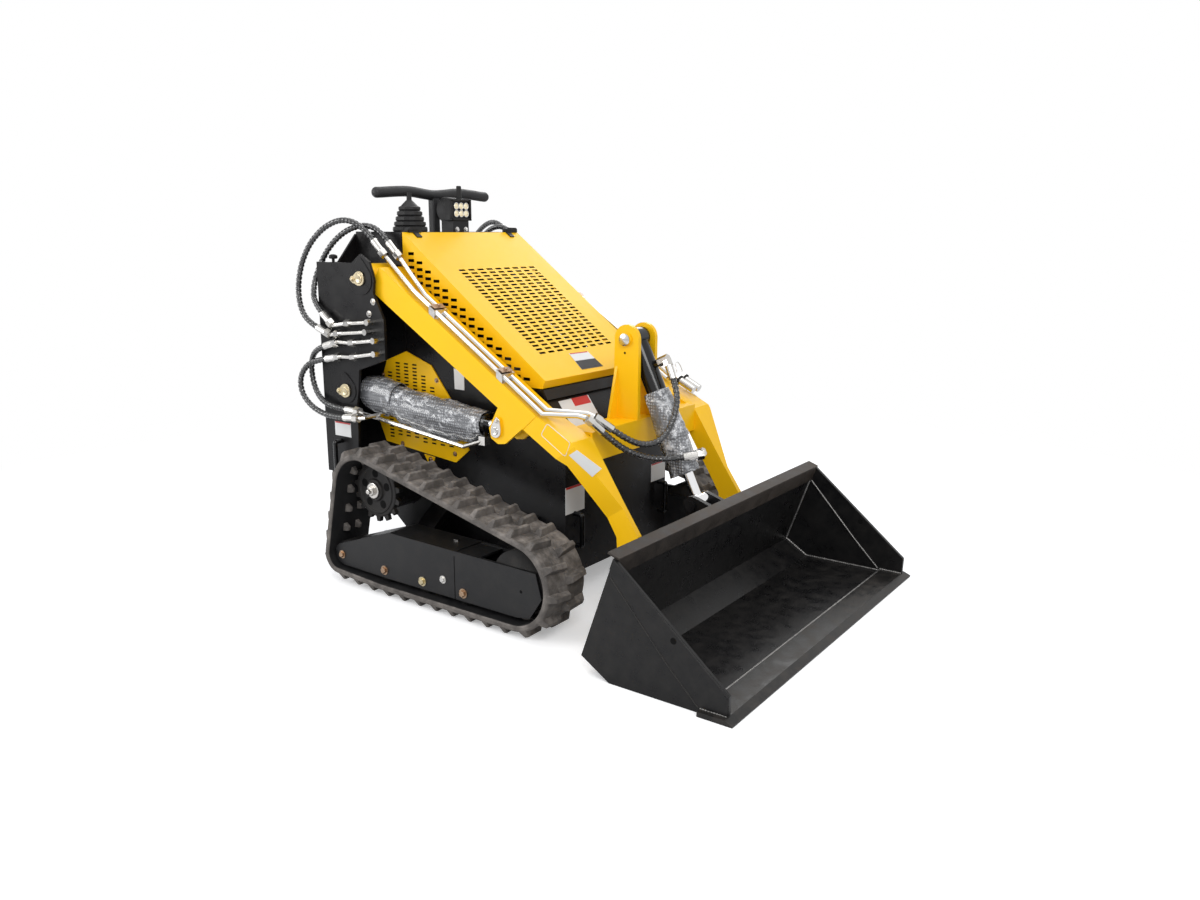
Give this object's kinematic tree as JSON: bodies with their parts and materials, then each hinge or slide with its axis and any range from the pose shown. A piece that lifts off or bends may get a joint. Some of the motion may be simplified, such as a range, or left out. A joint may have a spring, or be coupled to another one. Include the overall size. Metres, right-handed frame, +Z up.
{
  "type": "skid steer loader",
  "caption": "Compact walk-behind tracked skid steer loader with two lift arms, a tilting bucket, an opening hood and rubber tracks.",
  "frame": {"origin": "on the ground, below the middle of the machine's length and width", "axes": "+X forward to the bucket, +Y to the machine's left, +Z up"},
  "size_m": [1.8932, 1.33, 1.346],
  "materials": {
    "black_paint": "satin",
    "yellow_paint": "gloss",
    "rubber_track": "matte",
    "black_rubber": "matte",
    "chrome_rod": "polished",
    "wheel_steel": "satin",
    "zinc_steel": "zinc plated",
    "cast_engine": "cast",
    "worn_edge": "bare",
    "hose_rubber": "matte, with a spiral guard",
    "bright_steel": "zinc plated, bright",
    "lamp_housing": "matte"
  },
  "bodies": {
    "chassis": {"chassis_frame": "black_paint", "rear_bulkhead": "black_paint", "wing_plate_right": "black_paint", "wing_plate_left": "black_paint", "pivot_pins": "zinc_steel", "engine": "cast_engine", "console": "black_paint", "hood_seal": "black_rubber", "side_cover_right": "yellow_paint", "side_cover_left": "yellow_paint", "handle_bar": "black_paint", "joystick": "black_rubber", "work_light": "lamp_housing", "tie_downs": "black_paint", "track_right": "rubber_track", "track_left": "rubber_track", "track_frame_right": "black_paint", "track_frame_left": "black_paint", "track_legs_right": "black_paint", "track_legs_left": "black_paint", "track_wheels_right": "wheel_steel", "track_wheels_left": "wheel_steel", "sprocket_right": "wheel_steel", "sprocket_left": "wheel_steel", "drive_motor_right": "wheel_steel", "drive_motor_left": "wheel_steel", "arm_hoses_right": "hose_rubber", "arm_hoses_left": "hose_rubber", "lift_hoses_right": "hose_rubber", "lift_hoses_left": "hose_rubber", "connectors_right": "bright_steel", "connectors_left": "bright_steel"},
    "arms": {"arm_right": "yellow_paint", "arm_left": "yellow_paint", "cross_tube": "yellow_paint", "tower": "yellow_paint", "arm_pipes_right": "bright_steel", "arm_pipes_left": "bright_steel", "tilt_hoses": "hose_rubber"},
    "bucket": {"bucket": "black_paint", "cutting_edge": "worn_edge", "quick_attach": "black_paint"},
    "hood": {"hood": "yellow_paint"},
    "lift_barrel_right": {"lift_barrel_right": "black_paint", "lift_pipes_right": "bright_steel"},
    "lift_barrel_left": {"lift_barrel_left": "black_paint", "lift_pipes_left": "bright_steel"},
    "lift_rod_right": {"lift_rod_right": "chrome_rod"},
    "lift_rod_left": {"lift_rod_left": "chrome_rod"},
    "tilt_barrel": {"tilt_barrel": "black_paint", "tilt_fittings": "bright_steel"},
    "tilt_rod": {"tilt_rod": "chrome_rod"}
  },
  "joints": [
    {"name": "arm_lift", "type": "hinge", "parent": "chassis", "child": "arms", "pos_m": [-0.668, 0, 1.031], "axis": [0, -1, 0], "range_deg": [0, 75], "deforming": ["arm_hoses_right", "arm_hoses_left"]},
    {"name": "bucket_tilt", "type": "hinge", "parent": "arms", "child": "bucket", "pos_m": [0.395, 0, 0.13], "axis": [0, 1, 0], "range_deg": [-20, 105]},
    {"name": "hood_open", "type": "hinge", "parent": "chassis", "child": "hood", "pos_m": [-0.603, 0, 1.191], "axis": [0, -1, 0], "range_deg": [0, 55]},
    {"name": "lift_barrel_swing_right", "type": "hinge", "parent": "chassis", "child": "lift_barrel_right", "pos_m": [-0.768, -0.356, 0.644], "axis": [0, -1, 0], "range_deg": [0, 56.98], "deforming": ["lift_hoses_right"]},
    {"name": "lift_rod_slide_right", "type": "slide", "parent": "lift_barrel_right", "child": "lift_rod_right", "axis": [0.9959, 0, -0.0904], "range_m": [0, 0.42179]},
    {"name": "lift_barrel_swing_left", "type": "hinge", "parent": "chassis", "child": "lift_barrel_left", "pos_m": [-0.768, 0.356, 0.644], "axis": [0, -1, 0], "range_deg": [0, 56.98], "deforming": ["lift_hoses_left"]},
    {"name": "lift_rod_slide_left", "type": "slide", "parent": "lift_barrel_left", "child": "lift_rod_left", "axis": [0.9959, 0, -0.0904], "range_m": [0, 0.42179]},
    {"name": "tilt_barrel_swing", "type": "hinge", "parent": "arms", "child": "tilt_barrel", "pos_m": [0.152, 0, 0.855], "axis": [0, 1, 0], "range_deg": [-7.55, 1.84], "deforming": ["tilt_hoses"]},
    {"name": "tilt_rod_slide", "type": "slide", "parent": "tilt_barrel", "child": "tilt_rod", "axis": [0.4381, 0, -0.8989], "range_m": [-0.0569, 0.29449]}
  ],
  "couplings": [
    {"joint": "lift_barrel_swing_right", "follows": "arm_lift", "ratio": 0.757},
    {"joint": "lift_rod_slide_right", "follows": "arm_lift", "m_per_rad": 0.32146},
    {"joint": "lift_barrel_swing_left", "follows": "arm_lift", "ratio": 0.757},
    {"joint": "lift_rod_slide_left", "follows": "arm_lift", "m_per_rad": 0.32146},
    {"joint": "tilt_barrel_swing", "follows": "bucket_tilt", "ratio": -0.0671},
    {"joint": "tilt_rod_slide", "follows": "bucket_tilt", "m_per_rad": 0.16015}
  ]
}
